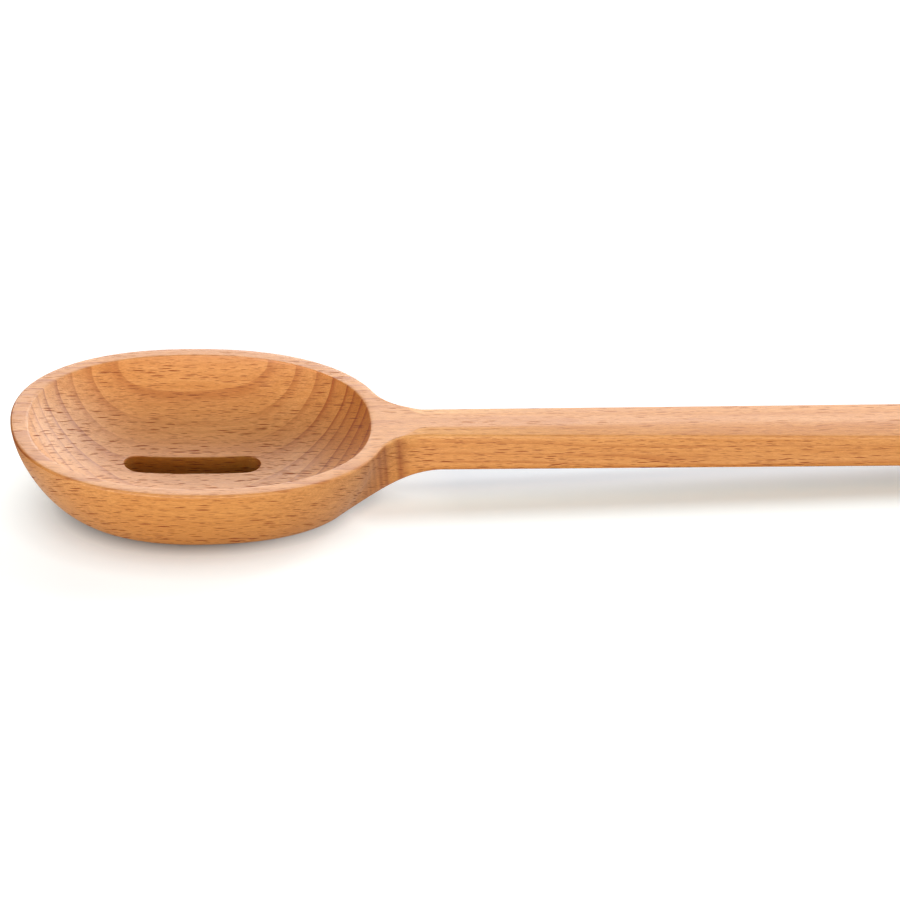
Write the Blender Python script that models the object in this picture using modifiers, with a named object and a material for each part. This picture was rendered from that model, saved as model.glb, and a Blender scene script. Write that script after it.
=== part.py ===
"""A one-piece wooden slotted spoon, lying on a table on its foot and on the end of its handle.

Run with: blender --background --python part.py
Metres, +Z up, the table is z = 0, the handle points along +X, and the origin lies on the
table under the middle of the spoon's length. The spoon is modelled level first, with the
middle of its rim at the origin and its rim in the plane z = 0, and then laid down.
"""
import math

import bmesh
import bpy

# Bowl
BOWL_LENGTH = 0.080
BOWL_WIDTH = 0.0612
RIM_SQUARENESS = 2.24  # exponent of the rim's superellipse: 2 would be a plain ellipse
RIM_END_WALL = 0.0037  # thickness of the rim at the tip and at the neck
RIM_SIDE_WALL = 0.0031
CAVITY_DEPTH = 0.0108
CAVITY_FLATNESS = 3.0  # exponent of the cavity's floor: 2 would be evenly hollow
CAVITY_WALL_POWER = 0.85  # exponent of its wall: 1 slopes evenly up to the rim, 0.5 ends upright
FLOOR_THICKNESS = 0.0071  # wood under the deepest point of the cavity
WALL_ROUNDNESS = 1.43  # exponent of the outer wall's section: 1 is a straight slope, 2 an ellipse

# Foot, the flat that the bowl stands on: how far it lies inside the rim
FOOT_TIP_INSET = 0.0146
FOOT_NECK_INSET = 0.0074
FOOT_SIDE_INSET = 0.0101

# Slot through the floor of the bowl
SLOT_LENGTH = 0.0290
SLOT_WIDTH = 0.0066
SLOT_TIP_OFFSET = 0.0013  # the slot's middle lies this far from the bowl's middle, to the tip

# Neck and handle
HANDLE_LENGTH = 0.250  # from the bowl's rim to the end
NECK_FILLET_RADIUS = 0.0115  # beside the handle, at its upper edge
HEEL_FILLET_RADIUS = 0.025  # the same hollow at the level of the foot
NECK_WIDTH = 0.0112
NECK_THICKNESS = 0.0092
HEEL_START_INSET = 0.012  # inside the rim's end, where the foot starts to rise
HEEL_LENGTH = 0.0236  # from there to where the underside reaches the handle's
END_WIDTH = 0.0176
END_THICKNESS = 0.0062
UNDER_EDGE_RADIUS = 0.0010
CHAMFER_WIDTH = 0.0030  # sanded facet on both upper edges of the handle, where it starts
CHAMFER_DROP = 0.0004
CHAMFER_RUNOUT = 0.005
CROWN_LENGTH = 0.055  # along this the two facets widen until they almost meet as a low crown
CROWN_FLAT = 0.0008  # the strip left flat between them

# Mesh density
BOWL_STATIONS = 36
NECK_STATIONS = 8
HANDLE_STATIONS = 14
HANDLE_CROWDING = 1.7  # above 1 the handle's stations lie closer together by the neck
END_STATIONS = 8
WALL_LEVELS = (0.0, 0.12, 0.26, 0.40, 0.54, 0.67, 0.78, 0.87, 0.92, 0.96, 0.99, 1.0)
CAVITY_SEGMENTS = 64
CAVITY_RINGS = 22
SLOT_END_SEGMENTS = 16
CUTTER_MARGIN = 0.006  # how far the cutters run past the wood
MERGE_DISTANCE = 0.000001

# Sizes that follow from the ones above
HALF_LENGTH = BOWL_LENGTH / 2
HALF_WIDTH = BOWL_WIDTH / 2
BOWL_HEIGHT = CAVITY_DEPTH + FLOOR_THICKNESS
END_X = HALF_LENGTH + HANDLE_LENGTH
END_ROUND_X = END_X - END_WIDTH / 2
# The laid-down spoon touches the table with the foot and with the handle's lower end edge
REST_X = END_X - UNDER_EDGE_RADIUS
REST_SLOPE = (BOWL_HEIGHT - END_THICKNESS) / REST_X
REST_ANGLE = math.atan(REST_SLOPE)


def smooth_step(value):
    """0 below 0, 1 above 1, and level at both ends of the rise between."""
    value = min(max(value, 0.0), 1.0)
    return value * value * (3 - 2 * value)


def superellipse(angle, half_x, half_y, squareness):
    """Point and outward unit normal of a superellipse round the origin."""
    cosine, sine = math.cos(angle), math.sin(angle)
    radius = (abs(cosine) ** squareness + abs(sine) ** squareness) ** (-1 / squareness)
    unit_x, unit_y = radius * cosine, radius * sine
    normal_x = math.copysign(abs(unit_x) ** (squareness - 1), unit_x) / half_x
    normal_y = math.copysign(abs(unit_y) ** (squareness - 1), unit_y) / half_y
    length = math.hypot(normal_x, normal_y)
    return (half_x * unit_x, half_y * unit_y), (normal_x / length, normal_y / length)


class Outline:
    """Half of the spoon's outline, on the +Y side, at one level of its wall.

    Level 0 is the rim and the handle's upper edge, level 1 the foot and the handle's
    underside. The stations run from the tip round the bowl, through the neck's concave
    fillet and along the handle to the middle of its end.
    """

    def __init__(self, level):
        inward = 1 - (1 - level ** WALL_ROUNDNESS) ** (1 / WALL_ROUNDNESS)
        tip_x = -HALF_LENGTH + FOOT_TIP_INSET * inward
        neck_x = HALF_LENGTH - FOOT_NECK_INSET * inward
        self.centre_x = (tip_x + neck_x) / 2
        self.half_x = (neck_x - tip_x) / 2
        self.half_y = HALF_WIDTH - FOOT_SIDE_INSET * inward
        self.edge_inset = self.under_edge_inset(level)
        self.neck_half_width = NECK_WIDTH / 2 - self.edge_inset
        wider = HEEL_FILLET_RADIUS - NECK_FILLET_RADIUS
        self.fillet_radius = NECK_FILLET_RADIUS + wider * level ** 2
        self.join_angle = self.find_join_angle()
        (join_x, join_y), (normal_x, normal_y) = self.bowl_point(self.join_angle)
        self.fillet_x = join_x + self.fillet_radius * normal_x
        self.fillet_start = math.atan2(-normal_y, -normal_x) % (2 * math.pi)

    @staticmethod
    def under_edge_inset(level):
        """The rounding of the handle's lower edges."""
        start = 1 - UNDER_EDGE_RADIUS / END_THICKNESS
        round_part = min(max((level - start) / (1 - start), 0.0), 1.0)
        return UNDER_EDGE_RADIUS * (1 - math.sqrt(1 - round_part ** 2))

    def bowl_point(self, angle):
        (x, y), normal = superellipse(angle, self.half_x, self.half_y, RIM_SQUARENESS)
        return (x + self.centre_x, y), normal

    def find_join_angle(self):
        """The place on the bowl where a fillet that also touches the handle's side leaves it."""
        low, high = 0.0, math.pi / 2
        for _ in range(50):
            middle = (low + high) / 2
            (_, y), (_, normal_y) = self.bowl_point(middle)
            if y + self.fillet_radius * normal_y < self.neck_half_width + self.fillet_radius:
                low = middle
            else:
                high = middle
        return (low + high) / 2

    def bowl(self, share, inset):
        angle = math.pi + (self.join_angle - math.pi) * share
        (x, y), (normal_x, normal_y) = self.bowl_point(angle)
        return x - inset * normal_x, y - inset * normal_y

    def neck(self, share, inset):
        angle = self.fillet_start + (1.5 * math.pi - self.fillet_start) * share
        radius = self.fillet_radius + inset
        centre_y = self.neck_half_width + self.fillet_radius
        return self.fillet_x + radius * math.cos(angle), centre_y + radius * math.sin(angle)

    def handle(self, share, inset):
        x = self.fillet_x + (END_ROUND_X - self.fillet_x) * share ** HANDLE_CROWDING
        return x, handle_width(x) / 2 - self.edge_inset - inset

    def end(self, share, inset):
        angle = (1 - share) * math.pi / 2
        radius = END_WIDTH / 2 - self.edge_inset - inset
        return END_ROUND_X + radius * math.cos(angle), radius * math.sin(angle)


def outline_stations():
    """The outline's stretches, each as its function's name and the share along it."""
    stations = []
    for part, count in (
        ("bowl", BOWL_STATIONS),
        ("neck", NECK_STATIONS),
        ("handle", HANDLE_STATIONS),
        ("end", END_STATIONS),
    ):
        stations += [(part, step / count) for step in range(count)]
    return stations + [("end", 1.0)]


def handle_width(x):
    share = min(max((x - TAPER_START_X) / (END_ROUND_X - TAPER_START_X), 0.0), 1.0)
    return NECK_WIDTH + (END_WIDTH - NECK_WIDTH) * share


def under_depth(x):
    """Depth of the underside below the rim plane: the foot, the heel and the handle."""
    foot = BOWL_HEIGHT - x * REST_SLOPE
    along = min(max((x - TAPER_START_X) / (REST_X - TAPER_START_X), 0.0), 1.0)
    handle = NECK_THICKNESS + (END_THICKNESS - NECK_THICKNESS) * along
    heel = smooth_step((x - (HALF_LENGTH - HEEL_START_INSET)) / HEEL_LENGTH)
    return foot + (handle - foot) * heel


def chamfer_share(x):
    """0 on the bowl and 1 along the handle: the facet runs out in the neck."""
    return smooth_step((x - (TAPER_START_X - CHAMFER_RUNOUT)) / CHAMFER_RUNOUT)


def chamfer_width(x):
    crown = min(max((x - TAPER_START_X) / CROWN_LENGTH, 0.0), 1.0)
    widest = (handle_width(x) - CROWN_FLAT) / 2
    return CHAMFER_WIDTH + (widest - CHAMFER_WIDTH) * crown


TAPER_START_X = Outline(0.0).fillet_x


def section_points(station, outlines):
    """Half a section, from the top's middle over the edge and down to the underside's middle."""
    part, share = station
    edge_x, edge_y = getattr(outlines[0], part)(share, 0.0)
    facet = chamfer_share(edge_x)
    facet_x, facet_y = getattr(outlines[0], part)(share, chamfer_width(edge_x) * facet)
    drop = CHAMFER_DROP * facet
    points = [(facet_x, 0.0, 0.0), (facet_x, facet_y, 0.0)]
    for level, outline in zip(WALL_LEVELS, outlines):
        x, y = getattr(outline, part)(share, 0.0)
        points.append((x, y, -drop - level * (under_depth(x) - drop)))
    bottom_x, _, bottom_z = points[-1]
    points.append((bottom_x, 0.0, bottom_z))
    return points


def finish_mesh(name, mesh_data, collection, closed=True):
    """Merge the points that meet, close the mesh's faces outwards and add its object."""
    bmesh.ops.remove_doubles(mesh_data, verts=mesh_data.verts, dist=MERGE_DISTANCE)
    if closed:
        bmesh.ops.recalc_face_normals(mesh_data, faces=mesh_data.faces)
    mesh = bpy.data.meshes.new(name)
    mesh_data.to_mesh(mesh)
    mesh_data.free()
    made = bpy.data.objects.new(name, mesh)
    collection.objects.link(made)
    return made


def make_body(collection):
    """Bowl, neck and handle as one half loft, mirrored across the spoon's length."""
    outlines = [Outline(level) for level in WALL_LEVELS]
    sections = [section_points(station, outlines) for station in outline_stations()]
    columns = len(sections[0])
    sheet = bmesh.new()
    bmesh.ops.create_grid(
        sheet, x_segments=columns - 1, y_segments=len(sections) - 1, size=1.0
    )
    sheet.verts.ensure_lookup_table()
    for index, vertex in enumerate(sheet.verts):
        vertex.co = sections[index // columns][index % columns]
    body = finish_mesh("slotted_spoon", sheet, collection, closed=False)
    mirror = body.modifiers.new("other_half", "MIRROR")
    mirror.use_axis = (False, True, False)
    mirror.merge_threshold = MERGE_DISTANCE
    return body


def make_cavity_cutter(collection):
    """A ball warped to the cavity: the hollow below the rim and a collar above it."""
    half_x = HALF_LENGTH - RIM_END_WALL
    half_y = HALF_WIDTH - RIM_SIDE_WALL
    ball = bmesh.new()
    bmesh.ops.create_uvsphere(
        ball, u_segments=CAVITY_SEGMENTS, v_segments=CAVITY_RINGS, radius=1.0
    )
    for vertex in ball.verts:
        x, y, z = vertex.co
        spread = math.hypot(x, y)
        (rim_x, rim_y), _ = superellipse(math.atan2(y, x), half_x, half_y, RIM_SQUARENESS)
        if z > MERGE_DISTANCE:
            vertex.co = (rim_x * spread, rim_y * spread, CUTTER_MARGIN * (1 + z))
        else:
            hollow = max(1 - spread ** CAVITY_FLATNESS, 0.0) ** CAVITY_WALL_POWER
            vertex.co = (rim_x * spread, rim_y * spread, -CAVITY_DEPTH * hollow)
    return finish_mesh("cavity_cutter", ball, collection)


def make_slot_cutter(collection):
    """A flat-sided bar with round ends, standing through the floor of the bowl."""
    bar = bmesh.new()
    bmesh.ops.create_circle(
        bar, cap_ends=True, segments=2 * SLOT_END_SEGMENTS, radius=SLOT_WIDTH / 2
    )
    straight = (SLOT_LENGTH - SLOT_WIDTH) / 2
    for vertex in bar.verts:
        vertex.co.x += math.copysign(straight, vertex.co.x) - SLOT_TIP_OFFSET
        vertex.co.z = -BOWL_HEIGHT - CUTTER_MARGIN
    grown = bmesh.ops.extrude_face_region(bar, geom=bar.faces[:])
    top = [item for item in grown["geom"] if isinstance(item, bmesh.types.BMVert)]
    bmesh.ops.translate(bar, verts=top, vec=(0, 0, BOWL_HEIGHT + CUTTER_MARGIN))
    return finish_mesh("slot_cutter", bar, collection)


def cut(body, cutter):
    cutter.hide_render = True
    cutter.display_type = "WIRE"
    modifier = body.modifiers.new(cutter.name, "BOOLEAN")
    modifier.operation = "DIFFERENCE"
    modifier.object = cutter


def make_wood():
    wood = bpy.data.materials.new("oiled_beech")
    wood.use_nodes = True
    shader = wood.node_tree.nodes["Principled BSDF"]
    shader.inputs["Base Color"].default_value = (0.75, 0.42, 0.21, 1.0)
    shader.inputs["Roughness"].default_value = 0.55
    shader.inputs["Metallic"].default_value = 0.0
    return wood


def lay_down(pieces):
    """Tip the level spoon about the bowl until the handle's end touches the table."""
    rest = bpy.data.objects.new("rest_pose", None)
    bpy.context.scene.collection.objects.link(rest)
    ahead = math.cos(REST_ANGLE)
    down = math.sin(REST_ANGLE)
    tip_reach = -HALF_LENGTH * ahead
    end_reach = END_X * ahead - CHAMFER_DROP * down
    rest.location = (-(tip_reach + end_reach) / 2, 0.0, BOWL_HEIGHT * ahead)
    rest.rotation_euler = (0.0, REST_ANGLE, 0.0)
    for piece in pieces:
        piece.parent = rest


def main():
    for old in list(bpy.data.objects):
        bpy.data.objects.remove(old, do_unlink=True)
    parts = bpy.data.collections.new("wooden_slotted_spoon")
    cutters = bpy.data.collections.new("cutters")
    for collection in (parts, cutters):
        bpy.context.scene.collection.children.link(collection)
    spoon = make_body(parts)
    cavity = make_cavity_cutter(cutters)
    slot = make_slot_cutter(cutters)
    cut(spoon, cavity)
    cut(spoon, slot)
    spoon.data.materials.append(make_wood())
    spoon.data.shade_smooth()
    spoon.data.set_sharp_from_angle(angle=math.radians(35))
    lay_down((spoon, cavity, slot))


main()
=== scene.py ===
import math

import bmesh
import bpy
from mathutils import Matrix, Vector


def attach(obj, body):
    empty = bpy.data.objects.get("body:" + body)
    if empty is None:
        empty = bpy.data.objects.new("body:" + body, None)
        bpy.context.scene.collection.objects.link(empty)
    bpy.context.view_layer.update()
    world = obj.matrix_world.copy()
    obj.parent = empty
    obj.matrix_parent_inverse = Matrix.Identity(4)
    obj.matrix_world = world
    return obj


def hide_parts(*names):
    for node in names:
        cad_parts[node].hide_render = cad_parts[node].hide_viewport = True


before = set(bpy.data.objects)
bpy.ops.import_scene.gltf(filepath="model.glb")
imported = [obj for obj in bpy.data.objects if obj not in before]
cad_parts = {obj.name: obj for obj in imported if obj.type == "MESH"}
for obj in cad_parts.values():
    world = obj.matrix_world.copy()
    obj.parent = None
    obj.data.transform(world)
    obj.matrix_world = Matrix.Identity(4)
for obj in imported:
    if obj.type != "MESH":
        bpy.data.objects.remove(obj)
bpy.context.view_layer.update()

# A wooden slotted spoon in oiled beech, lying on a pale studio floor.
# Metres, +Z up. The spoon is worked out level, with the middle of its rim at the origin and its
# rim in the plane z = 0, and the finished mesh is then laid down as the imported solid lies.

# Bowl
BOWL_LENGTH = 0.080
BOWL_WIDTH = 0.0612
RIM_SQUARENESS = 2.24
RIM_END_WALL = 0.0037
RIM_SIDE_WALL = 0.0031
CAVITY_DEPTH = 0.0108
CAVITY_FLATNESS = 3.0  # exponent of the cavity's floor: 2 would be a plain hollow
CAVITY_WALL_POWER = 0.85  # exponent of its wall: 1 would meet the rim at a slope, 0.5 upright
FLOOR_THICKNESS = 0.0071
WALL_ROUNDNESS = 1.43
FOOT_TIP_INSET = 0.0146
FOOT_NECK_INSET = 0.0074
FOOT_SIDE_INSET = 0.0101

# Slot
SLOT_LENGTH = 0.0290
SLOT_WIDTH = 0.0066
SLOT_TIP_OFFSET = 0.0013

# Neck and handle
HANDLE_LENGTH = 0.250
NECK_FILLET_RADIUS = 0.0115
HEEL_FILLET_RADIUS = 0.025
NECK_WIDTH = 0.0112
NECK_THICKNESS = 0.0092
HEEL_START_INSET = 0.012
HEEL_LENGTH = 0.0236
END_WIDTH = 0.0176
END_THICKNESS = 0.0062
UNDER_EDGE_RADIUS = 0.0010
CHAMFER_WIDTH = 0.0030  # sanded facet beside the neck
CHAMFER_DROP = 0.0004
CHAMFER_RUNOUT = 0.005
CROWN_LENGTH = 0.055  # along this the facets widen until they almost meet as a crown
CROWN_FLAT = 0.0008  # strip that stays between them
FACET_SOFTNESS = 0.15  # share of the facet that is rounded into the flat, beside the neck
CROWN_SOFTNESS = 0.8

# How far sanding has rounded each edge
OUTER_EDGE_RADIUS = 0.0006
MOUTH_EDGE_SOFTNESS = 0.0004
MOUTH_SLOPE = 1.4  # the cavity's wall at the rim: metres down for each metre inwards
SLOT_EDGE_RADIUS = 0.0002

MILLIMETRES = 1000.0  # in a metre

# Mesh density
BOWL_ROWS = 130
NECK_ROWS = 34
CROSS_ROWS = 12
HANDLE_ROWS = 120
HANDLE_CROWDING = 1.7
END_ROWS = 26
FACET_STEPS = 8
EDGE_STEPS = 5
WALL_STEPS = 34
UNDER_STEPS = 16
SLOT_WALL_STEPS = 5
CAVITY_STEPS = 40
RIM_STEPS = 8
MERGE_DISTANCE = 0.000001

# Camera
CAMERA_ELEVATION = math.radians(31.0)
CAMERA_YAW = math.radians(3.71)
CAMERA_ROLL = math.radians(1.641)
CAMERA_DISTANCE = 4.0
SENSOR_WIDTH = 36.0
PICTURE_WIDTH = 0.190476  # what the picture's width spans at the spoon
RIM_LEFT_OF_MIDDLE = 0.05308  # the rim's middle as the picture shows it
RIM_ABOVE_MIDDLE = 0.00598

# Beech, measured in millimetres in the level frame. Its growth rings are cylinders round an
# axis above the spoon, which leans a little along it.
RING_AXIS_Y = -9.65
RING_AXIS_Z = 24.78
RING_AXIS_LEAN_Y = -0.0087  # for each millimetre towards the handle
RING_AXIS_LEAN_Z = -0.0182
RING_RADII = (29.14, 31.04, 33.12, 34.68, 37.14, 39.24, 42.20, 44.10)
RING_SPACING = 2.9  # of the rings inside and outside of these
RING_LIMITS = (0.0, 80.0)
OUTER_RINGS_FROM = 39.37  # beyond this the rings flatten
OUTER_RINGS_DEPTH = 4.0
OUTER_RINGS_FLATNESS = 0.958
OUTER_RINGS_REACH = 30.0
RING_WAVER = 0.12
RING_WAVER_PATCH = (14.0, 5.0, 5.0)
RING_DRIFT = 1.6  # how far the rings wander along the handle
RING_DRIFT_ALONG = (45.0, 85.0)
RING_DRIFT_PATCH = (60.0, 8.0, 5.0)
# How dark a ring's line is from one ring to the next
RING_LINE = ((0.0, 0.0), (0.35, 0.06), (0.7, 0.3), (0.92, 0.9), (0.97, 1.0), (1.0, 0.75))
# How strongly the rings show
FAINTEST_RING = 0.6
OUTER_WALL_RING = 0.2
NECK_RING = 0.8
BOWL_MIDDLE_RING = 0.2
OUTERMOST_RING = 0.6  # in the middle of the bowl too
HANDLE_TOP_FADE = 0.6
END_GRAIN_RING = 1.6
NECK_FIGURE_LEAN = -0.1
# The neck's stripes are the wood's figure, and the last ones are also painted shade in the crease
# where the fillet meets the handle's side
NECK_STRIPES_AND_SHADE = (  # where along the neck its side is striped, and how darkly
    (33.0, 0.0), (34.2, 0.35), (34.6, 0.1), (35.0, 0.4), (35.5, 0.1), (36.1, 0.5), (36.7, 0.2),
    (37.4, 0.8), (38.0, 0.35), (38.7, 0.8), (39.2, 0.2), (39.8, 0.0), (40.7, 0.0), (41.3, 0.5),
    (41.8, 0.8), (42.7, 0.35), (44.0, 0.0),
)
FLECK_TILT = math.radians(-30.0)  # turns the rays about the spoon's length
LONG_FLECKS = ((3.8, 6.0, 0.6), (1.65, 2.6, 0.12))  # cell and half size
SHORT_FLECKS = ((2.2, 4.0, 0.42), (0.9, 1.7, 0.085))
SHORT_FLECK_STRENGTH = 0.75
TOP_FLECK_STRENGTH = 0.5
FLECK_SIZES = (0.6, 1.15)
FLECK_STRENGTHS = (0.4, 1.0)
FLECK_EDGE = (0.5, 1.08)  # a fleck fades out between these shares of its size

# Where the wood's figure changes: levels, places along the spoon, and ways to face with how
# much of a face's normal goes that way
TOP_LEVELS = (-1.5, -0.4)
HANDLE_TOP_ALONG = (36.0, 44.0)
HANDLE_SIDE_ALONG = (40.0, 55.0)
NECK_ALONG = (30.0, 45.0)
FACET_SHEEN_ALONG = (52.0, 88.0)
BOWL_MIDDLE_ALONG = (8.0, 27.0)
SLOT_MARGIN_ALONG = 0.7
SLOT_MARGIN_ACROSS = 0.15
# The outer wall low down on the front, which faces the floor: its rings are faint, and its colour
# gets painted shade
OUTER_WALL_WAY = (0.0, -0.5, -0.87)
OUTER_WALL_SHADE_FACING = (0.5, 0.95)
OUTER_WALL_RING_FACING = (0.1, 0.6)
# The hollow's wall at the tip, which faces the handle's end and gets a painted sheen
TIP_WALL_WAY = (0.87, 0.0, 0.5)
TIP_WALL_FACING = (0.6, 0.95)
TIP_WALL_SHEEN_SHARE = 0.6
END_GRAIN_WAY = (-0.93, 0.0, 0.37)
END_GRAIN_FACING = (0.55, 1.0)
NECK_SIDE_UPWARDS = (0.4, 0.75)
FACET_TILT = (0.0, 0.05)
FACET_SHEEN_TILT = (0.03, 0.1)

# Wood colours, and the tones that multiply them; some of them are painted shade and painted sheen
EARLYWOOD = (0.90, 0.43, 0.14, 1.0)
LATEWOOD = (0.57, 0.18, 0.028, 1.0)
# painted shade, deeper where the outer wall faces down and to the front
OUTER_WALL_PAINTED_SHADE = (0.98, 0.88, 0.50, 1.0)
# end grain's deeper tone, and painted shade on the faces that look towards the tip, away from the
# lamps
END_GRAIN_AND_SHADE_TONE = (0.68, 0.48, 0.12, 1.0)
# deeper tone of the slot's sawn wall, and painted shade in its recess
SLOT_WALL_TONE_AND_SHADE = (0.76, 0.78, 0.38, 1.0)
# stripes of figure on the neck's sides, partly painted shade in its crease
NECK_STRIPE_AND_SHADE_TONE = (0.53, 0.31, 0.15, 1.0)
FLECK_TONE = (0.38, 0.15, 0.03, 1.0)
# painted sheen that makes the facets beside the neck paler and whiter
FACET_PAINTED_SHEEN = (1.25, 1.5, 1.85, 1.0)
# painted sheen, added on the hollow's wall at the tip
TIP_WALL_PAINTED_SHEEN = (0.02, 0.12, 0.15, 1.0)  # added
WOOD_CLOUDS = (  # patch size, detail and tone of the patches, the streaks and the fibres
    ((40.0, 9.0, 9.0), 1.0, (0.97, 0.93, 0.85, 1.0)),
    ((55.0, 1.3, 0.9), 2.0, (0.84, 0.74, 0.58, 1.0)),
    ((2.2, 0.25, 0.22), 1.0, (0.80, 0.72, 0.60, 1.0)),
)
PORE_SIZE = (0.5, 0.2, 0.2)
PORE_TONE = (0.90, 0.86, 0.80, 1.0)
WOOD_SPECULAR = 0.58
WOOD_ROUGHNESS = (0.48, 0.95)  # of the oiled face, and of flecks and end grain
FACET_ROUGHNESS = 0.35
RELIEF_STRENGTH = 0.5
RELIEF_DEPTH = 0.00008
PORE_RELIEF = 0.3

WHITE = (1.0, 1.0, 1.0, 1.0)
BLACK = (0.0, 0.0, 0.0, 1.0)

# Light: a dim white studio with a broad softbox behind the spoon, a low one in front of it, and
# two small ones beyond the handle's end, one of them high up. Each has a place, a size and watts.
SKY_STRENGTH = 0.2
SOFTBOXES = (
    ("back_softbox", (0.45, 1.5, 0.58), (2.2, 0.8), 34.0),
    ("top_softbox", (0.95, 0.75, 1.2), (0.5, 0.5), 6.0),
    ("side_softbox", (1.5, 0.15, 0.55), (0.8, 0.6), 5.0),
    ("front_softbox", (-0.45, -1.36, 0.38), (1.9, 0.44), 23.5),
)

# Floor: white paper that glows evenly, with painted shade under the handle and round the bowl's
# foot, where its glow and brightness are lowered
FLOOR_HALF_SIZE = 6.0
FLOOR_BOUNCE = (0.3, 0.3, 0.3, 1.0)  # its colour for the light that it throws on the spoon
FLOOR_GLOW = 0.64
# The shades' steps run over these shares of the reach along the handle and across it
HANDLE_SHADE_ALONG = (-0.115, 0.185)
HANDLE_SHADE_ENDS = ((0.0, 0.0), (0.15, 1.0), (0.85, 1.0), (1.0, 0.0))
HANDLE_SHADE_ACROSS = (0.044, -0.036)
HANDLE_SHADE_BAND = ((0.3, 0.0), (0.44, 1.0), (0.68, 1.0), (0.78, 0.0))
# A cool grey painted shade under the handle, lifted by a little glow farther along it
COOL_SHADE_BAND = ((0.36, 0.0), (0.46, 1.0), (0.55, 1.0), (0.64, 0.0))
COOL_SHADE_GLOW = (0.03, 0.17)  # under the handle near the neck, and farther along it
COOL_SHADE_GLOW_ALONG = (-0.08, 0.015)
OPEN_FLOOR = 0.58  # how bright the paper is outside the handle's shade
PLAIN_PAPER = (1.13, 1.19, 1.14, 1.0)  # makes up for the warm light that the wood throws on it
COOL_SHADE_PAPER = (0.87, 0.96, 1.03, 1.0)
FOOT_MIDDLE = (-0.1252, 0.0, 0.0)
FOOT_STRETCH = (0.8, 1.0, 0.0)  # the shade round the foot is an oval
FOOT_REACH = (0.0205, 0.0365)
# the glow fades towards the foot: painted shadow round it
FOOT_SHADE_GLOW = ((0.0, 0.0), (0.28, 0.25), (0.6, 0.48), (1.0, 0.66))
CREASE_WIDTH = 0.003  # the line where the foot meets the paper
CREASE_SHADE = 0.55

# Sizes that follow
HALF_LENGTH = BOWL_LENGTH / 2
HALF_WIDTH = BOWL_WIDTH / 2
MOUTH_HALF_LENGTH = HALF_LENGTH - RIM_END_WALL
MOUTH_HALF_WIDTH = HALF_WIDTH - RIM_SIDE_WALL
BOWL_HEIGHT = CAVITY_DEPTH + FLOOR_THICKNESS
END_X = HALF_LENGTH + HANDLE_LENGTH
END_ROUND_X = END_X - END_WIDTH / 2
REST_X = END_X - UNDER_EDGE_RADIUS
REST_SLOPE = (BOWL_HEIGHT - END_THICKNESS) / REST_X
REST_ANGLE = math.atan(REST_SLOPE)
TIP_REACH = -HALF_LENGTH * math.cos(REST_ANGLE)
END_REACH = END_X * math.cos(REST_ANGLE) - CHAMFER_DROP * math.sin(REST_ANGLE)
RIM_CENTRE = Vector((-(TIP_REACH + END_REACH) / 2, 0.0, BOWL_HEIGHT * math.cos(REST_ANGLE)))
LAY_DOWN = Matrix.Translation(RIM_CENTRE) @ Matrix.Rotation(REST_ANGLE, 4, "Y")
SLOT_REACH_ALONG = (SLOT_LENGTH / 2 + SLOT_TIP_OFFSET) * MILLIMETRES + SLOT_MARGIN_ALONG
SLOT_REACH_ACROSS = SLOT_WIDTH / 2 * MILLIMETRES + SLOT_MARGIN_ACROSS
SLOT_LEVEL = (SLOT_EDGE_RADIUS - CAVITY_DEPTH) * MILLIMETRES


def smooth_step(value):
    value = min(max(value, 0.0), 1.0)
    return value * value * (3 - 2 * value)


def mix(first, second, share):
    return first + (second - first) * share


def superellipse(angle, half_x, half_y):
    """Point and outward unit normal of a rim-shaped outline round the origin."""
    cosine, sine = math.cos(angle), math.sin(angle)
    power = RIM_SQUARENESS
    radius = (abs(cosine) ** power + abs(sine) ** power) ** (-1 / power)
    unit_x, unit_y = radius * cosine, radius * sine
    normal_x = math.copysign(abs(unit_x) ** (power - 1), unit_x) / half_x
    normal_y = math.copysign(abs(unit_y) ** (power - 1), unit_y) / half_y
    length = math.hypot(normal_x, normal_y)
    return (half_x * unit_x, half_y * unit_y), (normal_x / length, normal_y / length)


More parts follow.
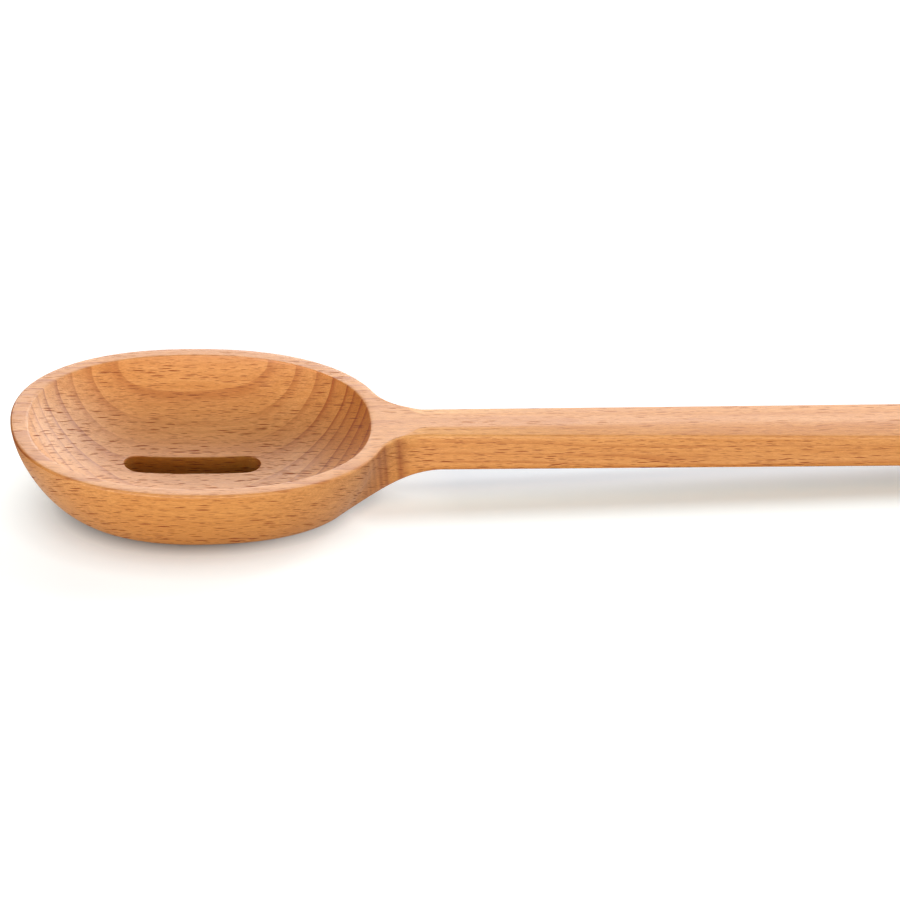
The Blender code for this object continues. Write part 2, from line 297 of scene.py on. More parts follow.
class Outline:
    """Half of the spoon's outline at one level: 0 is the rim, 1 the foot and the underside.

    Each stretch gives the point at a share of its length, moved inwards by an inset. The
    cross stretch runs straight over the handle where the neck's fillet ends.
    """

    def __init__(self, level):
        inward = 1 - (1 - level ** WALL_ROUNDNESS) ** (1 / WALL_ROUNDNESS)
        tip_x = -HALF_LENGTH + FOOT_TIP_INSET * inward
        neck_x = HALF_LENGTH - FOOT_NECK_INSET * inward
        self.centre_x = (tip_x + neck_x) / 2
        self.half_x = (neck_x - tip_x) / 2
        self.half_y = HALF_WIDTH - FOOT_SIDE_INSET * inward
        self.edge_inset = self.under_edge_inset(level)
        self.neck_half_width = NECK_WIDTH / 2 - self.edge_inset
        self.fillet_radius = mix(NECK_FILLET_RADIUS, HEEL_FILLET_RADIUS, level ** 2)
        self.join_angle = self.find_join_angle()
        (join_x, _), (normal_x, normal_y) = self.bowl_point(self.join_angle)
        self.fillet_x = join_x + self.fillet_radius * normal_x
        self.fillet_start = math.atan2(-normal_y, -normal_x) % (2 * math.pi)

    @staticmethod
    def under_edge_inset(level):
        start = 1 - UNDER_EDGE_RADIUS / END_THICKNESS
        round_part = min(max((level - start) / (1 - start), 0.0), 1.0)
        return UNDER_EDGE_RADIUS * (1 - math.sqrt(1 - round_part ** 2))

    def bowl_point(self, angle):
        (x, y), normal = superellipse(angle, self.half_x, self.half_y)
        return (x + self.centre_x, y), normal

    def find_join_angle(self):
        """Where on the bowl a fillet that also touches the handle's side leaves it."""
        low, high = 0.0, math.pi / 2
        for _ in range(50):
            middle = (low + high) / 2
            (_, y), (_, normal_y) = self.bowl_point(middle)
            if y + self.fillet_radius * normal_y < self.neck_half_width + self.fillet_radius:
                low = middle
            else:
                high = middle
        return (low + high) / 2

    def bowl(self, share, inset):
        (x, y), (normal_x, normal_y) = self.bowl_point(mix(math.pi, self.join_angle, share))
        return x - inset * normal_x, y - inset * normal_y

    def neck(self, share, inset):
        angle = mix(self.fillet_start, 1.5 * math.pi, share)
        radius = self.fillet_radius + inset
        centre_y = self.neck_half_width + self.fillet_radius
        return self.fillet_x + radius * math.cos(angle), centre_y + radius * math.sin(angle)

    def cross(self, share, inset):
        return self.fillet_x, (self.neck_half_width - inset) * (1 - share)

    def handle(self, share, inset):
        x = mix(self.fillet_x, END_ROUND_X, share ** HANDLE_CROWDING)
        return x, handle_width(x) / 2 - self.edge_inset - inset

    def end(self, share, inset):
        angle = (1 - share) * math.pi / 2
        radius = END_WIDTH / 2 - self.edge_inset - inset
        return END_ROUND_X + radius * math.cos(angle), radius * math.sin(angle)


TOP = Outline(0.0)
UNDER = Outline(1.0)
TAPER_START_X = TOP.fillet_x


def stations(*stretches):
    """Rows of a sheet: each as its stretch's name and the share along it."""
    rows = []
    for name, count in stretches:
        rows += [(name, step / count) for step in range(count)]
    return rows + [(stretches[-1][0], 1.0)]


BOWL_AND_NECK = (("bowl", BOWL_ROWS), ("neck", NECK_ROWS))
HANDLE_AND_END = (("handle", HANDLE_ROWS), ("end", END_ROWS))


def handle_width(x):
    share = min(max((x - TAPER_START_X) / (END_ROUND_X - TAPER_START_X), 0.0), 1.0)
    return mix(NECK_WIDTH, END_WIDTH, share)


def under_depth(x):
    """Depth of the underside below the rim: the foot, the heel and the handle."""
    foot = BOWL_HEIGHT - x * REST_SLOPE
    along = min(max((x - TAPER_START_X) / (REST_X - TAPER_START_X), 0.0), 1.0)
    handle = mix(NECK_THICKNESS, END_THICKNESS, along)
    heel = smooth_step((x - (HALF_LENGTH - HEEL_START_INSET)) / HEEL_LENGTH)
    return mix(foot, handle, heel)


def top_edge(stretch, share):
    """Width, drop and softness of the sanded facet at a row. The bowl has none."""
    x, _ = getattr(TOP, stretch)(share, 0.0)
    facet = smooth_step((x - (TAPER_START_X - CHAMFER_RUNOUT)) / CHAMFER_RUNOUT)
    crown = min(max((x - TAPER_START_X) / CROWN_LENGTH, 0.0), 1.0)
    widest = (handle_width(min(x, END_ROUND_X)) - CROWN_FLAT) / 2
    width = mix(CHAMFER_WIDTH, widest, crown)
    softness = mix(FACET_SOFTNESS, CROWN_SOFTNESS, crown)
    return mix(OUTER_EDGE_RADIUS, width, facet), CHAMFER_DROP * facet, softness


def sheet(sections):
    """A grid whose rows of points lie on the given sections."""
    made = bmesh.new()
    columns = len(sections[0])
    bmesh.ops.create_grid(
        made, x_segments=columns - 1, y_segments=len(sections) - 1, size=1.0
    )
    made.verts.ensure_lookup_table()
    for index, vertex in enumerate(made.verts):
        vertex.co = sections[index // columns][index % columns]
    return made


def wall_section(stretch, share):
    """From the facet's inner line over the edge and down the outer wall to the underside."""
    width, drop, softness = top_edge(stretch, share)
    straight = 1 - softness / 2
    slope = math.atan2(drop, width * straight)
    points = []
    for step in range(FACET_STEPS):
        inset = mix(width, OUTER_EDGE_RADIUS * (1 - math.sin(slope)), step / FACET_STEPS)
        across = 1 - inset / width
        if across < softness:
            fall = across ** 2 / (2 * softness)
        else:
            fall = across - softness / 2
        x, y = getattr(TOP, stretch)(share, inset)
        points.append((x, y, -drop * fall / straight))
    centre_depth = drop + OUTER_EDGE_RADIUS * (1 / math.cos(slope) - math.tan(slope))
    for step in range(EDGE_STEPS):
        angle = mix(slope, math.pi / 2, step / EDGE_STEPS)
        x, y = getattr(TOP, stretch)(share, OUTER_EDGE_RADIUS * (1 - math.sin(angle)))
        points.append((x, y, OUTER_EDGE_RADIUS * math.cos(angle) - centre_depth))
    for outline, level in zip(WALL_OUTLINES, WALL_LEVELS):
        x, y = getattr(outline, stretch)(share, 0.0)
        points.append((x, y, -mix(centre_depth, under_depth(x), level)))
    return points


# The wall's levels crowd where the wall curves into the foot
WALL_LEVELS = [math.sin(step / WALL_STEPS * math.pi / 2) for step in range(WALL_STEPS + 1)]
EDGE_LEVEL = OUTER_EDGE_RADIUS / BOWL_HEIGHT
WALL_OUTLINES = [Outline(mix(EDGE_LEVEL, 1.0, level)) for level in WALL_LEVELS]


def cavity_depth(x, y):
    power = RIM_SQUARENESS
    spread = abs(x / MOUTH_HALF_LENGTH) ** power + abs(y / MOUTH_HALF_WIDTH) ** power
    hollow = max(1 - spread ** (CAVITY_FLATNESS / power), 0.0)
    return CAVITY_DEPTH * hollow ** CAVITY_WALL_POWER


def soft_drop(depth):
    """Height of a surface that bends over the rim's inner edge, where the depth changes sign."""
    return -(depth + math.hypot(depth, MOUTH_EDGE_SOFTNESS)) / 2


def slot_point(share, outset):
    """Half of the slot's outline from the tip's side round to the neck's."""
    straight = (SLOT_LENGTH - SLOT_WIDTH) / 2
    radius = SLOT_WIDTH / 2 + outset
    quarter = math.pi * SLOT_WIDTH / 4
    walked = share * (2 * quarter + 2 * straight)
    if walked < quarter:
        angle = math.pi - walked / quarter * math.pi / 2
        middle = -straight
    elif walked < quarter + 2 * straight:
        angle = math.pi / 2
        middle = walked - quarter - straight
    else:
        angle = math.pi / 2 - (walked - quarter - 2 * straight) / quarter * math.pi / 2
        middle = straight
    return middle + radius * math.cos(angle) - SLOT_TIP_OFFSET, radius * math.sin(angle)


def fan_section(stretch, share, around):
    """From the underside's edge in to the slot, up its wall and over the cavity to the rim."""
    points = []
    edge_x, edge_y = getattr(UNDER, stretch)(share, 0.0)
    slot_x, slot_y = slot_point(around, SLOT_EDGE_RADIUS)
    for step in range(UNDER_STEPS):
        x = mix(edge_x, slot_x, step / UNDER_STEPS)
        y = mix(edge_y, slot_y, step / UNDER_STEPS)
        points.append((x, y, -under_depth(x)))
    for step in range(EDGE_STEPS):
        angle = step / EDGE_STEPS * math.pi / 2
        x, y = slot_point(around, SLOT_EDGE_RADIUS * (1 - math.sin(angle)))
        points.append((x, y, SLOT_EDGE_RADIUS * (1 - math.cos(angle)) - under_depth(x)))
    x, y = slot_point(around, 0.0)
    low, high = SLOT_EDGE_RADIUS - under_depth(x), -cavity_depth(x, y) - SLOT_EDGE_RADIUS
    for step in range(SLOT_WALL_STEPS):
        points.append((x, y, mix(low, high, step / SLOT_WALL_STEPS)))
    for step in range(EDGE_STEPS):
        angle = step / EDGE_STEPS * math.pi / 2
        x, y = slot_point(around, SLOT_EDGE_RADIUS * (1 - math.cos(angle)))
        points.append((x, y, -cavity_depth(x, y) - SLOT_EDGE_RADIUS * (1 - math.sin(angle))))
    (mouth_x, mouth_y), _ = superellipse(
        mix(math.pi, 0.0, around), MOUTH_HALF_LENGTH, MOUTH_HALF_WIDTH
    )
    slot_x, slot_y = slot_point(around, SLOT_EDGE_RADIUS)
    for step in range(CAVITY_STEPS):
        out = mix(step / CAVITY_STEPS, math.sin(step / CAVITY_STEPS * math.pi / 2), 0.7)
        x, y = mix(slot_x, mouth_x, out), mix(slot_y, mouth_y, out)
        points.append((x, y, soft_drop(cavity_depth(x, y))))
    width, _, _ = top_edge(stretch, share)
    edge_x, edge_y = getattr(TOP, stretch)(share, width)
    band = math.hypot(edge_x - mouth_x, edge_y - mouth_y)
    for step in range(RIM_STEPS + 1):
        out = (step / RIM_STEPS) ** 2
        height = soft_drop(-MOUTH_SLOPE * out * band) * (1 - out)
        points.append((mix(mouth_x, edge_x, out), mix(mouth_y, edge_y, out), height))
    return points


def make_wall():
    return sheet([wall_section(*row) for row in stations(*BOWL_AND_NECK, *HANDLE_AND_END)])


def make_bowl_and_neck():
    rows = stations(*BOWL_AND_NECK, ("cross", CROSS_ROWS))
    last = len(rows) - 1
    return sheet([fan_section(*row, index / last) for index, row in enumerate(rows)])


def make_handle_top():
    sections = []
    for stretch, share in stations(*HANDLE_AND_END):
        x, y = getattr(TOP, stretch)(share, top_edge(stretch, share)[0])
        sections.append([(x, y * step / CROSS_ROWS, 0.0) for step in range(CROSS_ROWS + 1)])
    return sheet(sections)


def make_handle_underside():
    sections = []
    for stretch, share in stations(*HANDLE_AND_END):
        x, y = getattr(UNDER, stretch)(share, 0.0)
        depth = under_depth(x)
        sections.append([(x, y * step / CROSS_ROWS, -depth) for step in range(CROSS_ROWS + 1)])
    return sheet(sections)


def join(sheets):
    """One bmesh out of several."""
    joined = bmesh.new()
    for part in sheets:
        carried = bpy.data.meshes.new("carried")
        part.to_mesh(carried)
        part.free()
        joined.from_mesh(carried)
        bpy.data.meshes.remove(carried)
    return joined


def make_spoon():
    """The whole spoon: half of it from four sheets, mirrored, closed and laid down."""
    half = join((make_wall(), make_bowl_and_neck(), make_handle_top(), make_handle_underside()))
    bmesh.ops.remove_doubles(half, verts=half.verts, dist=MERGE_DISTANCE)
    bmesh.ops.mirror(half, geom=half.verts[:] + half.edges[:] + half.faces[:], axis="Y",
                     merge_dist=MERGE_DISTANCE)
    bmesh.ops.remove_doubles(half, verts=half.verts, dist=MERGE_DISTANCE)
    bmesh.ops.recalc_face_normals(half, faces=half.faces)
    bmesh.ops.transform(half, matrix=LAY_DOWN, verts=half.verts)
    mesh = bpy.data.meshes.new("slotted_spoon_fine")
    half.to_mesh(mesh)
    half.free()
    mesh.shade_smooth()
    spoon = bpy.data.objects.new("beech_spoon", mesh)
    bpy.context.scene.collection.objects.link(spoon)
    return spoon


def feed(tree, socket, source):
    """Joins a socket to another one, or gives it a value."""
    if isinstance(source, bpy.types.NodeSocket):
        tree.links.new(source, socket)
    else:
        socket.default_value = source


def number(tree, operation, *sources, clamp=False):
    node = tree.nodes.new("ShaderNodeMath")
    node.operation = operation
    node.use_clamp = clamp
    for socket, source in zip(node.inputs, sources):
        feed(tree, socket, source)
    return node.outputs["Value"]


def vector(tree, operation, *sources):
    node = tree.nodes.new("ShaderNodeVectorMath")
    node.operation = operation
    for socket, source in zip(node.inputs, sources):
        feed(tree, socket, source)
    return node.outputs["Value" if operation in ("LENGTH", "DOT_PRODUCT") else "Vector"]


def product(tree, first, *others):
    for other in others:
        first = number(tree, "MULTIPLY", first, other)
    return first


def axes(tree, source):
    """The X, Y and Z of a vector."""
    split = tree.nodes.new("ShaderNodeSeparateXYZ")
    tree.links.new(source, split.inputs["Vector"])
    return split.outputs["X"], split.outputs["Y"], split.outputs["Z"]


def rescale(tree, value, low, high, new_low, new_high, smooth=False):
    node = tree.nodes.new("ShaderNodeMapRange")
    node.interpolation_type = "SMOOTHSTEP" if smooth else "LINEAR"
    for name, source in (("Value", value), ("From Min", low), ("From Max", high),
                         ("To Min", new_low), ("To Max", new_high)):
        feed(tree, node.inputs[name], source)
    return node.outputs["Result"]


def tint(tree, share, first, second, blend="MIX"):
    node = tree.nodes.new("ShaderNodeMix")
    node.data_type = "RGBA"
    node.blend_type = blend
    feed(tree, node.inputs["Factor"], share)
    feed(tree, node.inputs["A"], first)
    feed(tree, node.inputs["B"], second)
    return node.outputs["Result"]


def ramp(tree, value, stops):
    """Greys along a value: stops are pairs of place and brightness."""
    node = tree.nodes.new("ShaderNodeValToRGB")
    tree.links.new(value, node.inputs["Fac"])
    while len(node.color_ramp.elements) < len(stops):
        node.color_ramp.elements.new(1.0)
    for element, (place, brightness) in zip(node.color_ramp.elements, stops):
        element.position = place
        element.color = (brightness, brightness, brightness, 1.0)
    return node.outputs["Color"]


def cells(tree, place, size, tilt=0.0):
    """A place divided by the size of a pattern's cell along each of its axes."""
    node = tree.nodes.new("ShaderNodeMapping")
    node.vector_type = "TEXTURE"
    node.inputs["Rotation"].default_value = (tilt, 0.0, 0.0)
    node.inputs["Scale"].default_value = size
    tree.links.new(place, node.inputs["Vector"])
    return node.outputs["Vector"]


def cloud(tree, place, size, detail=1.0):
    """Soft noise whose patches have the given size, spread from 0.25..0.75 to -1..1."""
    node = tree.nodes.new("ShaderNodeTexNoise")
    node.inputs["Scale"].default_value = 1.0
    node.inputs["Detail"].default_value = detail
    tree.links.new(cells(tree, place, size), node.inputs["Vector"])
    return number(tree, "MULTIPLY_ADD", node.outputs["Fac"], 4.0, -2.0)


def level_place(tree):
    """Object coordinates turned back into the level frame, in millimetres."""
    coordinates = tree.nodes.new("ShaderNodeTexCoord")
    mapping = tree.nodes.new("ShaderNodeMapping")
    to_level = Matrix.Rotation(-REST_ANGLE, 3, "Y")
    mapping.inputs["Location"].default_value = to_level @ RIM_CENTRE * -MILLIMETRES
    mapping.inputs["Rotation"].default_value = (0.0, -REST_ANGLE, 0.0)
    mapping.inputs["Scale"].default_value = (MILLIMETRES, MILLIMETRES, MILLIMETRES)
    tree.links.new(coordinates.outputs["Object"], mapping.inputs["Vector"])
    return mapping.outputs["Vector"]


def ring_count(tree, radius):
    """Rings passed on the way out to a radius: whole numbers at the known rings."""
    inside, outside = RING_LIMITS
    known = list(enumerate(RING_RADII))
    last = len(RING_RADII) - 1
    known.insert(0, ((inside - RING_RADII[0]) / RING_SPACING, inside))
    known.append((last + (outside - RING_RADII[-1]) / RING_SPACING, outside))
    lowest, highest = known[0][0], known[-1][0]
    node = tree.nodes.new("ShaderNodeFloatCurve")
    curve = node.mapping.curves[0]
    while len(curve.points) < len(known):
        curve.points.new(0.5, 0.5)
    for point, (count, size) in zip(curve.points, known):
        point.location = (size / outside, (count - lowest) / (highest - lowest))
        point.handle_type = "VECTOR"
    node.mapping.update()
    feed(tree, node.inputs["Value"], number(tree, "DIVIDE", radius, outside))
    return number(tree, "MULTIPLY_ADD", node.outputs["Value"], highest - lowest, lowest)


def growth_rings(tree, place):
    """Darkness of the ring lines, from 0 to 1, and a different value for each ring."""
    across = vector(tree, "DOT_PRODUCT", place, (-RING_AXIS_LEAN_Y, 1.0, 0.0))
    above = vector(tree, "DOT_PRODUCT", place, (-RING_AXIS_LEAN_Z, 0.0, 1.0))
    spoke = tree.nodes.new("ShaderNodeCombineXYZ")
    feed(tree, spoke.inputs["X"], number(tree, "SUBTRACT", across, RING_AXIS_Y))
    feed(tree, spoke.inputs["Y"], number(tree, "SUBTRACT", above, RING_AXIS_Z))
    radius = vector(tree, "LENGTH", spoke.outputs["Vector"])
    along = vector(tree, "DOT_PRODUCT", place, (1 / OUTER_RINGS_REACH, 0.0, 0.0))
    bend = product(tree, along, along, OUTER_RINGS_FLATNESS)
    outer = rescale(tree, radius, OUTER_RINGS_FROM, OUTER_RINGS_FROM + OUTER_RINGS_DEPTH,
                    0.0, OUTER_RINGS_DEPTH)
    radius = number(tree, "MULTIPLY_ADD", outer, bend, radius)
    waver = cloud(tree, place, RING_WAVER_PATCH)
    radius = number(tree, "MULTIPLY_ADD", waver, RING_WAVER / 2, radius)
    drift = cloud(tree, place, RING_DRIFT_PATCH)
    onset = rescale(tree, axes(tree, place)[0], *RING_DRIFT_ALONG, 0.0, RING_DRIFT, smooth=True)
    radius = number(tree, "MULTIPLY_ADD", drift, onset, radius)
    count = ring_count(tree, radius)
    line = ramp(tree, number(tree, "FRACT", count), RING_LINE)
    each = tree.nodes.new("ShaderNodeTexWhiteNoise")
    each.noise_dimensions = "1D"
    tree.links.new(number(tree, "FLOOR", count), each.inputs["W"])
    outermost = number(tree, "GREATER_THAN", count, len(RING_RADII) - 2)
    return line, each.outputs["Value"], outermost


def ray_flecks(tree, place, cell, half_size):
    """Darkness of one size of ray fleck: thin ribbons in the wood, cut open by the surface."""
    cell_place = cells(tree, place, cell, FLECK_TILT)
    seeds = tree.nodes.new("ShaderNodeTexVoronoi")
    seeds.inputs["Scale"].default_value = 1.0
    tree.links.new(cell_place, seeds.inputs["Vector"])
    offset = vector(tree, "SUBTRACT", cell_place, seeds.outputs["Position"])
    stretch = tuple(room / half for room, half in zip(cell, half_size))
    reach = vector(tree, "LENGTH", vector(tree, "MULTIPLY", offset, stretch))
    chance = tree.nodes.new("ShaderNodeSeparateColor")
    tree.links.new(seeds.outputs["Color"], chance.inputs["Color"])
    size = rescale(tree, chance.outputs["Red"], 0.0, 1.0, *FLECK_SIZES)
    out = number(tree, "DIVIDE", reach, size)
    body = rescale(tree, out, *FLECK_EDGE, 1.0, 0.0, smooth=True)
    strength = rescale(tree, chance.outputs["Green"], 0.1, 0.8, *FLECK_STRENGTHS)
    return number(tree, "MULTIPLY", body, strength)


class Surface:
    """Where a point of the spoon lies in the level frame, and which way it faces."""

    def __init__(self, tree):
        self.place = level_place(tree)
        self.x, self.y, self.z = axes(tree, self.place)
        self.normal = tree.nodes.new("ShaderNodeTexCoord").outputs["Normal"]
        _, normal_y, normal_z = axes(tree, self.normal)
        self.sideways = number(tree, "ABSOLUTE", normal_y)
        self.upwards = number(tree, "ABSOLUTE", normal_z)
        self.from_middle = number(tree, "ABSOLUTE", self.x)
        top = rescale(tree, self.z, *TOP_LEVELS, 0.0, 1.0, smooth=True)
        on_handle = rescale(tree, self.x, *HANDLE_TOP_ALONG, 0.0, HANDLE_TOP_FADE)
        self.handle_top = product(tree, top, on_handle)
        self.outer_wall = vector(tree, "DOT_PRODUCT", self.normal, OUTER_WALL_WAY)
        end_grain = vector(tree, "DOT_PRODUCT", self.normal, END_GRAIN_WAY)
        self.end_grain = rescale(tree, end_grain, *END_GRAIN_FACING, 0.0, 1.0, smooth=True)


def ring_darkness(tree, surface):
    """The ring lines, faint on the outer wall, on the handle's top and in the bowl's middle."""
    line, each_ring, outermost = growth_rings(tree, surface.place)
    strength = rescale(tree, each_ring, 0.0, 1.0, FAINTEST_RING, 1.0)
    outer_wall = rescale(tree, surface.outer_wall, *OUTER_WALL_RING_FACING,
                         1.0, OUTER_WALL_RING, smooth=True)
    handle_side = rescale(tree, surface.x, *HANDLE_SIDE_ALONG, 0.0, 1.0, smooth=True)
    side = number(tree, "MAXIMUM", outer_wall, handle_side)
    neck = rescale(tree, surface.x, *NECK_ALONG, 1.0, NECK_RING)
    handle_top = rescale(tree, surface.handle_top, 0.0, 1.0, 1.0, 0.0)
    middle = rescale(tree, surface.from_middle, *BOWL_MIDDLE_ALONG,
                     BOWL_MIDDLE_RING, 1.0, smooth=True)
    middle = number(tree, "MAXIMUM", middle, product(tree, outermost, OUTERMOST_RING))
    end_grain = rescale(tree, surface.end_grain, 0.0, 1.0, 1.0, END_GRAIN_RING)
    ring = product(tree, line, strength, side, neck, handle_top, middle)
    return number(tree, "MULTIPLY", ring, end_grain, clamp=True)


def fleck_darkness(tree, surface):
    """Long and short flecks, fainter on the top."""
    long_flecks = ray_flecks(tree, surface.place, *LONG_FLECKS)
    short_flecks = product(tree, ray_flecks(tree, surface.place, *SHORT_FLECKS),
                           SHORT_FLECK_STRENGTH)
    strength = rescale(tree, surface.z, *TOP_LEVELS, 1.0, TOP_FLECK_STRENGTH, smooth=True)
    return product(tree, number(tree, "MAXIMUM", long_flecks, short_flecks), strength)


def tip_wall_sheen_share(tree, surface):
    """The hollow's wall at the spoon's tip, where the fibres end in the surface. It gets a painted
    sheen, paler and cooler, for the light from beyond the handle's end.
    """
    facing = vector(tree, "DOT_PRODUCT", surface.normal, TIP_WALL_WAY)
    facing = rescale(tree, facing, *TIP_WALL_FACING, 0.0, TIP_WALL_SHEEN_SHARE, smooth=True)
    return product(tree, facing, number(tree, "LESS_THAN", surface.x, 0.0))


def slot_share(tree, surface):
    """The slot's wall, whose deeper tone is partly the sawn wood's own and partly painted shade in
    the recess.
    """
    from_axis = number(tree, "ABSOLUTE", surface.y)
    return product(tree, number(tree, "LESS_THAN", from_axis, SLOT_REACH_ACROSS),
                   number(tree, "LESS_THAN", surface.from_middle, SLOT_REACH_ALONG),
                   number(tree, "LESS_THAN", surface.z, SLOT_LEVEL))


def neck_stripes_and_shade(tree, surface):
    """The stripes on the sides of the neck; the last ones also serve as painted shade in the crease
    where the neck's fillet meets the handle.
    """
    lean = number(tree, "MULTIPLY_ADD", surface.z, -NECK_FIGURE_LEAN, surface.x)
    first, last = NECK_STRIPES_AND_SHADE[0][0], NECK_STRIPES_AND_SHADE[-1][0]
    figure = ramp(tree, rescale(tree, lean, first, last, 0.0, 1.0),
                  [((at - first) / (last - first), dark) for at, dark in NECK_STRIPES_AND_SHADE])
    side = rescale(tree, surface.upwards, *NECK_SIDE_UPWARDS, 1.0, 0.0, smooth=True)
    return product(tree, figure, side)


def facet_sheen_share(tree, surface):
    """The facets beside the neck, given a painted sheen: their colour is paler and whiter, for the
    light that they catch.
    """
    near_neck = rescale(tree, surface.x, *FACET_SHEEN_ALONG, 1.0, 0.0, smooth=True)
    tilted = rescale(tree, surface.sideways, *FACET_SHEEN_TILT, 0.0, 1.0, smooth=True)
    return product(tree, tilted, near_neck, surface.handle_top)


def make_beech():
    beech = bpy.data.materials.new("beech_oiled")
    beech.use_nodes = True
    tree = beech.node_tree
    shader = tree.nodes["Principled BSDF"]
    surface = Surface(tree)
    fleck = fleck_darkness(tree, surface)
    colour = tint(tree, ring_darkness(tree, surface), EARLYWOOD, LATEWOOD)
    # painted shade on the outer wall where it faces down towards the floor
    outer_wall = rescale(tree, surface.outer_wall, *OUTER_WALL_SHADE_FACING, 0.0, 1.0)
    colour = tint(tree, outer_wall, colour, OUTER_WALL_PAINTED_SHADE, "MULTIPLY")
    # painted sheen on the hollow's wall at the tip
    colour = tint(tree, tip_wall_sheen_share(tree, surface), colour, TIP_WALL_PAINTED_SHEEN, "ADD")
    # deeper end grain, and painted shade on the faces turned away from the lamps
    colour = tint(tree, surface.end_grain, colour, END_GRAIN_AND_SHADE_TONE, "MULTIPLY")
    # the slot's deeper tone and painted shade in its recess
    colour = tint(tree, slot_share(tree, surface), colour, SLOT_WALL_TONE_AND_SHADE, "MULTIPLY")
    # the neck's stripes, and painted shade in its crease
    colour = tint(tree, neck_stripes_and_shade(tree, surface), colour, NECK_STRIPE_AND_SHADE_TONE, "MULTIPLY")
    for size, detail, tone in WOOD_CLOUDS:
        share = rescale(tree, cloud(tree, surface.place, size, detail), -1.0, 1.0, 0.0, 1.0)
        colour = tint(tree, share, colour, tone, "MULTIPLY")
    pores = rescale(tree, cloud(tree, surface.place, PORE_SIZE), -1.0, 1.0, 0.0, 1.0)
    colour = tint(tree, pores, colour, PORE_TONE, "MULTIPLY")
    colour = tint(tree, fleck, colour, FLECK_TONE, "MULTIPLY")
    # painted sheen on the facets beside the neck
    colour = tint(tree, facet_sheen_share(tree, surface), colour, FACET_PAINTED_SHEEN, "MULTIPLY")
    tree.links.new(colour, shader.inputs["Base Color"])

    shader.inputs["Specular IOR Level"].default_value = WOOD_SPECULAR
    facet = rescale(tree, surface.sideways, *FACET_TILT, 0.0, FACET_ROUGHNESS)
    facet = product(tree, facet, surface.handle_top)
    matt = number(tree, "MAXIMUM", fleck, number(tree, "MAXIMUM", facet, surface.end_grain))
    feed(tree, shader.inputs["Roughness"], rescale(tree, matt, 0.0, 1.0, *WOOD_ROUGHNESS))
    relief = tree.nodes.new("ShaderNodeBump")
    relief.invert = True
    relief.inputs["Strength"].default_value = RELIEF_STRENGTH
    relief.inputs["Distance"].default_value = RELIEF_DEPTH
    feed(tree, relief.inputs["Height"], number(tree, "MULTIPLY_ADD", pores, PORE_RELIEF, fleck))
    tree.links.new(relief.outputs["Normal"], shader.inputs["Normal"])
    return beech


def by_ray(tree, for_others, for_camera):
    """Joins two shaders: one that lights the spoon, and one for the rays that show the backdrop."""
    rays = tree.nodes.new("ShaderNodeLightPath")
    seen = number(tree, "MAXIMUM", rays.outputs["Is Camera Ray"], rays.outputs["Is Glossy Ray"])
    seen = number(tree, "MAXIMUM", seen, rays.outputs["Is Transmission Ray"])
    blend = tree.nodes.new("ShaderNodeMixShader")
    tree.links.new(seen, blend.inputs["Fac"])
    tree.links.new(for_others, blend.inputs[1])
    tree.links.new(for_camera, blend.inputs[2])
    return blend.outputs["Shader"]


def floor_shades(tree):
    """The paper's glow, its colour, and how open it is to the light, by place on the floor, which
    paint shade under the handle and round the foot.
    """
    place = tree.nodes.new("ShaderNodeTexCoord").outputs["Object"]
    x, y, _ = axes(tree, place)
    along = ramp(tree, rescale(tree, x, *HANDLE_SHADE_ALONG, 0.0, 1.0), HANDLE_SHADE_ENDS)
    across = rescale(tree, y, *HANDLE_SHADE_ACROSS, 0.0, 1.0)
    shade = product(tree, along, ramp(tree, across, HANDLE_SHADE_BAND))
    from_foot = vector(tree, "MULTIPLY", vector(tree, "SUBTRACT", place, FOOT_MIDDLE), FOOT_STRETCH)
    from_foot = rescale(tree, vector(tree, "LENGTH", from_foot), *FOOT_REACH, 0.0, 1.0)
    cool_shade = product(tree, along, ramp(tree, across, COOL_SHADE_BAND))
    cool_shade_glow = product(tree, cool_shade, rescale(tree, x, *COOL_SHADE_GLOW_ALONG, *COOL_SHADE_GLOW))
    glow = number(tree, "MINIMUM", rescale(tree, shade, 0.0, 1.0, FLOOR_GLOW, cool_shade_glow),
                  ramp(tree, from_foot, FOOT_SHADE_GLOW))
    crease = tree.nodes.new("ShaderNodeAmbientOcclusion")
    crease.inputs["Distance"].default_value = CREASE_WIDTH
    open_share = product(tree, rescale(tree, shade, 0.0, 1.0, OPEN_FLOOR, 1.0),
                         rescale(tree, crease.outputs["AO"], 0.0, 1.0, CREASE_SHADE, 1.0))
    return glow, tint(tree, cool_shade, PLAIN_PAPER, COOL_SHADE_PAPER), open_share


def make_paper():
    """White paper: matt and plain where it lights the spoon, glowing where it is seen."""
    paper = bpy.data.materials.new("white_paper")
    paper.use_nodes = True
    tree = paper.node_tree
    tree.nodes.remove(tree.nodes["Principled BSDF"])
    glow_strength, colour, open_share = floor_shades(tree)
    matt = tree.nodes.new("ShaderNodeBsdfDiffuse")
    matt.inputs["Color"].default_value = FLOOR_BOUNCE
    pale = tree.nodes.new("ShaderNodeBsdfDiffuse")
    tree.links.new(tint(tree, open_share, BLACK, colour), pale.inputs["Color"])
    glow = tree.nodes.new("ShaderNodeEmission")
    glow.inputs["Color"].default_value = WHITE
    tree.links.new(glow_strength, glow.inputs["Strength"])
    seen = tree.nodes.new("ShaderNodeAddShader")
    tree.links.new(pale.outputs["BSDF"], seen.inputs[0])
    tree.links.new(glow.outputs["Emission"], seen.inputs[1])
    tree.links.new(by_ray(tree, matt.outputs["BSDF"], seen.outputs["Shader"]),
                   tree.nodes["Material Output"].inputs["Surface"])
    return paper


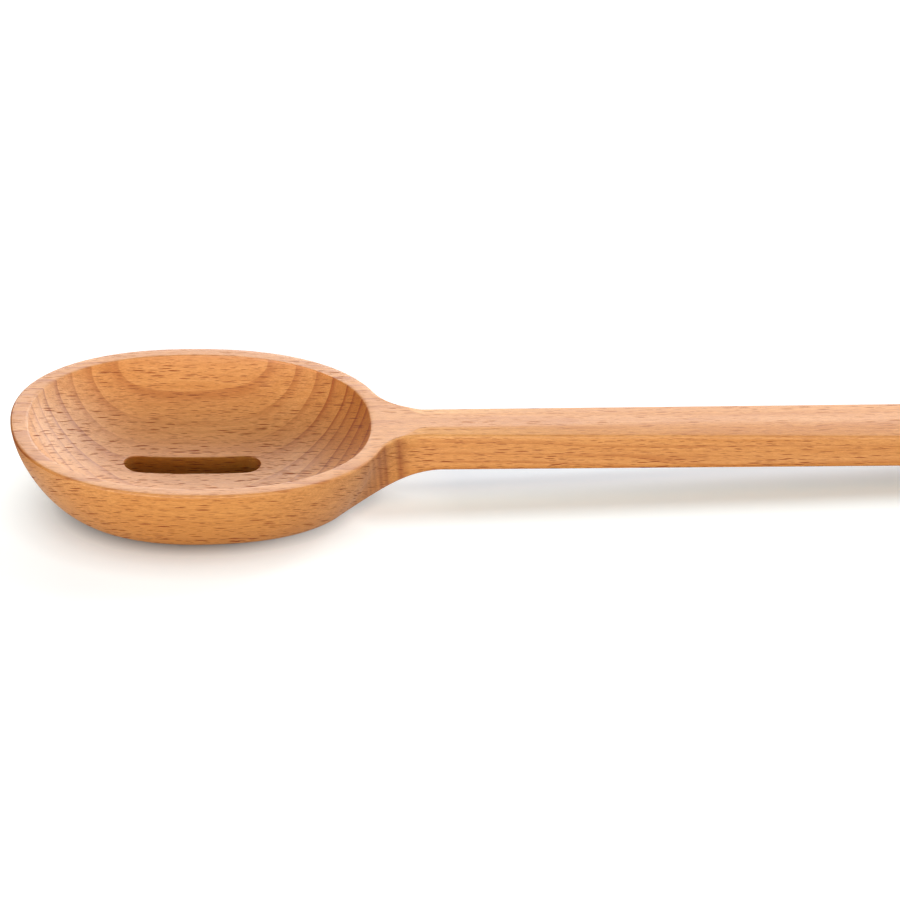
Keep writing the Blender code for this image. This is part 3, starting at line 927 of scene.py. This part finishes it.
def make_floor():
    plane = bmesh.new()
    bmesh.ops.create_grid(plane, x_segments=1, y_segments=1, size=FLOOR_HALF_SIZE)
    mesh = bpy.data.meshes.new("studio_floor")
    plane.to_mesh(mesh)
    plane.free()
    mesh.materials.append(make_paper())
    floor = bpy.data.objects.new("studio_floor", mesh)
    bpy.context.scene.collection.objects.link(floor)


def make_light():
    world = bpy.data.worlds.new("studio")
    bpy.context.scene.world = world
    world.use_nodes = True
    tree = world.node_tree
    around = tree.nodes["Background"]
    around.inputs["Color"].default_value = WHITE
    around.inputs["Strength"].default_value = SKY_STRENGTH
    white = tree.nodes.new("ShaderNodeBackground")
    white.inputs["Color"].default_value = WHITE
    white.inputs["Strength"].default_value = 1.0
    tree.links.new(by_ray(tree, around.outputs["Background"], white.outputs["Background"]),
                   tree.nodes["World Output"].inputs["Surface"])
    for name, place, size, watts in SOFTBOXES:
        lamp = bpy.data.lights.new(name, "AREA")
        lamp.shape = "RECTANGLE"
        lamp.size, lamp.size_y = size
        lamp.energy = watts
        softbox = bpy.data.objects.new(name, lamp)
        bpy.context.scene.collection.objects.link(softbox)
        softbox.location = place
        softbox.rotation_mode = "QUATERNION"
        softbox.rotation_quaternion = softbox.location.to_track_quat("Z", "Y")


def make_camera():
    """Placed so that the rim's middle lies where the picture shows it."""
    turn = (
        Matrix.Rotation(REST_ANGLE, 3, "Y")
        @ Matrix.Rotation(-CAMERA_YAW, 3, "Z")
        @ Matrix.Rotation(math.pi / 2 - CAMERA_ELEVATION, 3, "X")
        @ Matrix.Rotation(CAMERA_ROLL, 3, "Z")
    )
    right, up, back = turn.col
    target = RIM_CENTRE + right * RIM_LEFT_OF_MIDDLE - up * RIM_ABOVE_MIDDLE
    lens = bpy.data.cameras.new("camera")
    lens.sensor_width = SENSOR_WIDTH
    lens.lens = SENSOR_WIDTH * CAMERA_DISTANCE / PICTURE_WIDTH
    camera = bpy.data.objects.new("camera", lens)
    bpy.context.scene.collection.objects.link(camera)
    camera.rotation_mode = "QUATERNION"
    camera.rotation_quaternion = turn.to_quaternion()
    camera.location = target + back * CAMERA_DISTANCE
    bpy.context.scene.camera = camera


spoon = make_spoon()
spoon.data.materials.append(make_beech())
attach(spoon, "root")
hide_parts("slotted_spoon")
make_floor()
make_light()
make_camera()
bpy.context.scene.view_settings.view_transform = "Standard"
